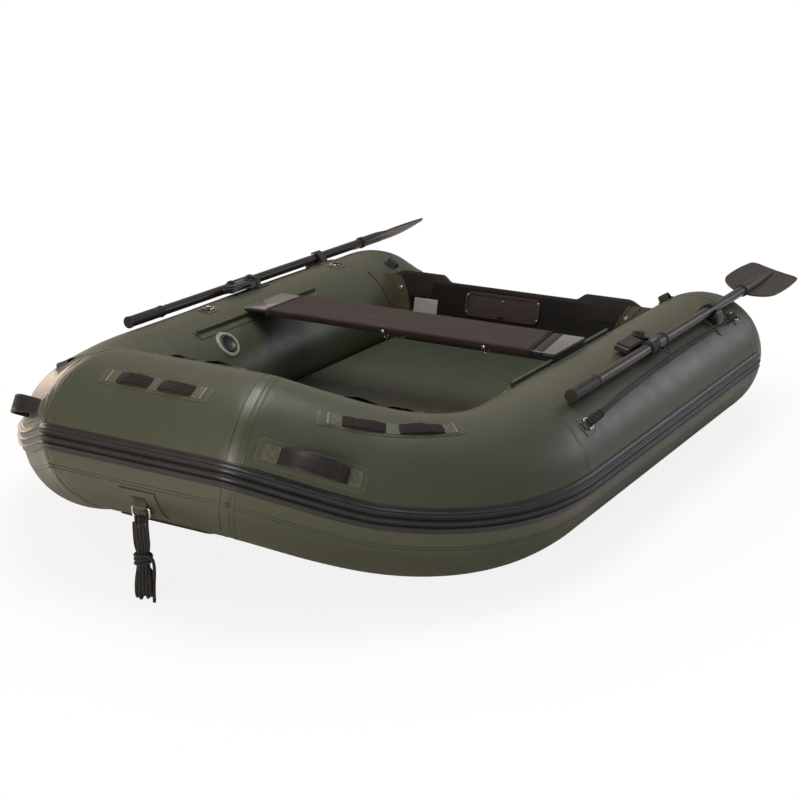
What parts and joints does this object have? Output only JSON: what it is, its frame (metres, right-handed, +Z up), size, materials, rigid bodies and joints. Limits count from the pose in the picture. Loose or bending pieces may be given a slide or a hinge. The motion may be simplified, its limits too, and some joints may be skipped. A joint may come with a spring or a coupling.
{
  "type": "inflatable dinghy",
  "caption": "Inflatable dinghy with a mitred bow, air floor, raked transom, sliding seat, carry handles, and two oars that swing, tilt and feather in rowlocks.",
  "frame": {"origin": "centre of the bounding box in plan, on the plane the boat rests on", "axes": "+X towards the bow, +Y to port, +Z up"},
  "size_m": [2.4995, 1.6358, 0.5428],
  "materials": {
    "tube_fabric": "semi-gloss coated fabric, olive green",
    "bottom_fabric": "coated fabric, dark olive",
    "floor_fabric": "textured coated fabric, dark olive grey",
    "strake_rubber": "semi-gloss moulded rubber, black",
    "marine_plywood": "dark sealed plywood",
    "holder_rubber": "moulded rubber, olive brown",
    "plate_plastic": "moulded plastic, brown",
    "stainless": "polished stainless steel",
    "black_plastic": "moulded nylon, black",
    "valve_plastic": "moulded plastic, dark grey",
    "seat_board": "lacquered plywood, grey",
    "cover_fabric": "woven polyester, dark brown",
    "webbing": "woven webbing, dark brown",
    "patch_fabric": "coated fabric patches, olive",
    "oar_tube": "satin anodised tube, brown black",
    "blade_plastic": "moulded nylon, grey brown",
    "cord": "braided cord, black brown"
  },
  "bodies": {
    "hull": {"port_side_tube": "tube_fabric", "starboard_side_tube": "tube_fabric", "port_bow_tube": "tube_fabric", "starboard_bow_tube": "tube_fabric", "bow_tube": "tube_fabric", "port_stern_cone": "tube_fabric", "starboard_stern_cone": "tube_fabric", "port_rub_strake": "strake_rubber", "starboard_rub_strake": "strake_rubber", "bow_rub_strake": "strake_rubber", "wear_strips": "strake_rubber", "hull_bottom": "bottom_fabric", "air_floor": "floor_fabric", "transom_board": "marine_plywood", "port_transom_holder": "holder_rubber", "starboard_transom_holder": "holder_rubber", "transom_bolts": "stainless", "transom_inner_plate": "plate_plastic", "transom_outer_plate": "plate_plastic", "transom_plate_screws": "stainless", "drain_fitting": "black_plastic", "valve_bodies": "valve_plastic", "port_seat_track": "patch_fabric", "starboard_seat_track": "patch_fabric", "port_rowlock_base": "black_plastic", "starboard_rowlock_base": "black_plastic", "port_oar_clip": "black_plastic", "starboard_oar_clip": "black_plastic", "strap_patches": "patch_fabric", "strap_webbing": "webbing", "carry_handles": "patch_fabric", "stern_handles": "webbing", "ring_pads": "patch_fabric", "hull_rings": "stainless", "port_lifeline": "cord", "starboard_lifeline": "cord", "tow_patch": "patch_fabric"},
    "seat": {"seat_plank": "seat_board", "seat_cover": "cover_fabric", "seat_end_brackets": "black_plastic", "seat_cover_rings": "stainless"},
    "port_rowlock": {"port_rowlock_turret": "black_plastic"},
    "port_sleeve": {"port_oar_sleeve": "black_plastic", "port_oar_keeper": "stainless"},
    "port_oar": {"port_oar_shaft": "oar_tube", "port_oar_stops": "black_plastic", "port_oar_grip": "black_plastic", "port_oar_blade": "blade_plastic"},
    "starboard_rowlock": {"starboard_rowlock_turret": "black_plastic"},
    "starboard_sleeve": {"starboard_oar_sleeve": "black_plastic", "starboard_oar_keeper": "stainless"},
    "starboard_oar": {"starboard_oar_shaft": "oar_tube", "starboard_oar_stops": "black_plastic", "starboard_oar_grip": "black_plastic", "starboard_oar_blade": "blade_plastic"},
    "tow_ring": {"tow_ring": "stainless", "painter_hank": "cord"},
    "port_cap": {"port_valve_cap": "valve_plastic"},
    "starboard_cap": {"starboard_valve_cap": "valve_plastic"},
    "plug": {"drain_plug": "black_plastic"}
  },
  "joints": [
    {"name": "seat_slide", "type": "slide", "parent": "hull", "child": "seat", "axis": [1, 0, 0], "range_m": [-0.16, 0.23]},
    {"name": "port_oar_swing", "type": "hinge", "parent": "hull", "child": "port_rowlock", "pos_m": [-0.174, 0.658, 0.38918], "axis": [0, 0.25, 0.9682], "range_deg": [-95, 0]},
    {"name": "port_oar_tilt", "type": "hinge", "parent": "port_rowlock", "child": "port_sleeve", "pos_m": [-0.174, 0.71, 0.397], "axis": [0, 0.9682, -0.25], "range_deg": [-5, 5]},
    {"name": "port_oar_feather", "type": "hinge", "parent": "port_sleeve", "child": "port_oar", "pos_m": [-0.174, 0.71, 0.397], "axis": [1, 0, 0], "range_deg": [-20, 45]},
    {"name": "starboard_oar_swing", "type": "hinge", "parent": "hull", "child": "starboard_rowlock", "pos_m": [-0.174, -0.658, 0.38918], "axis": [0, -0.25, 0.9682], "range_deg": [0, 95]},
    {"name": "starboard_oar_tilt", "type": "hinge", "parent": "starboard_rowlock", "child": "starboard_sleeve", "pos_m": [-0.174, -0.71, 0.397], "axis": [0, -0.9682, -0.25], "range_deg": [-5, 5]},
    {"name": "starboard_oar_feather", "type": "hinge", "parent": "starboard_sleeve", "child": "starboard_oar", "pos_m": [-0.174, -0.71, 0.397], "axis": [1, 0, 0], "range_deg": [-28, 40]},
    {"name": "tow_ring_swing", "type": "hinge", "parent": "hull", "child": "tow_ring", "pos_m": [1.2152, 0, 0.23803], "axis": [0, 1, 0], "range_deg": [-70, 0]},
    {"name": "port_valve_cap_turn", "type": "hinge", "parent": "hull", "child": "port_cap", "pos_m": [0.235, 0.46334, 0.33055], "axis": [0, -0.7431, 0.6691], "range_deg": [0, 90]},
    {"name": "starboard_valve_cap_turn", "type": "hinge", "parent": "hull", "child": "starboard_cap", "pos_m": [0.235, -0.46334, 0.33055], "axis": [0, 0.7431, 0.6691], "range_deg": [0, 90]},
    {"name": "drain_plug_turn", "type": "hinge", "parent": "hull", "child": "plug", "pos_m": [-0.66448, 0.3, 0.1033], "axis": [-0.9724, 0, -0.2334], "continuous": true}
  ],
  "couplings": [
    {"joint": "port_oar_tilt", "follows": "port_oar_swing", "ratio": 0.03},
    {"joint": "starboard_oar_tilt", "follows": "starboard_oar_swing", "ratio": 0.03}
  ]
}
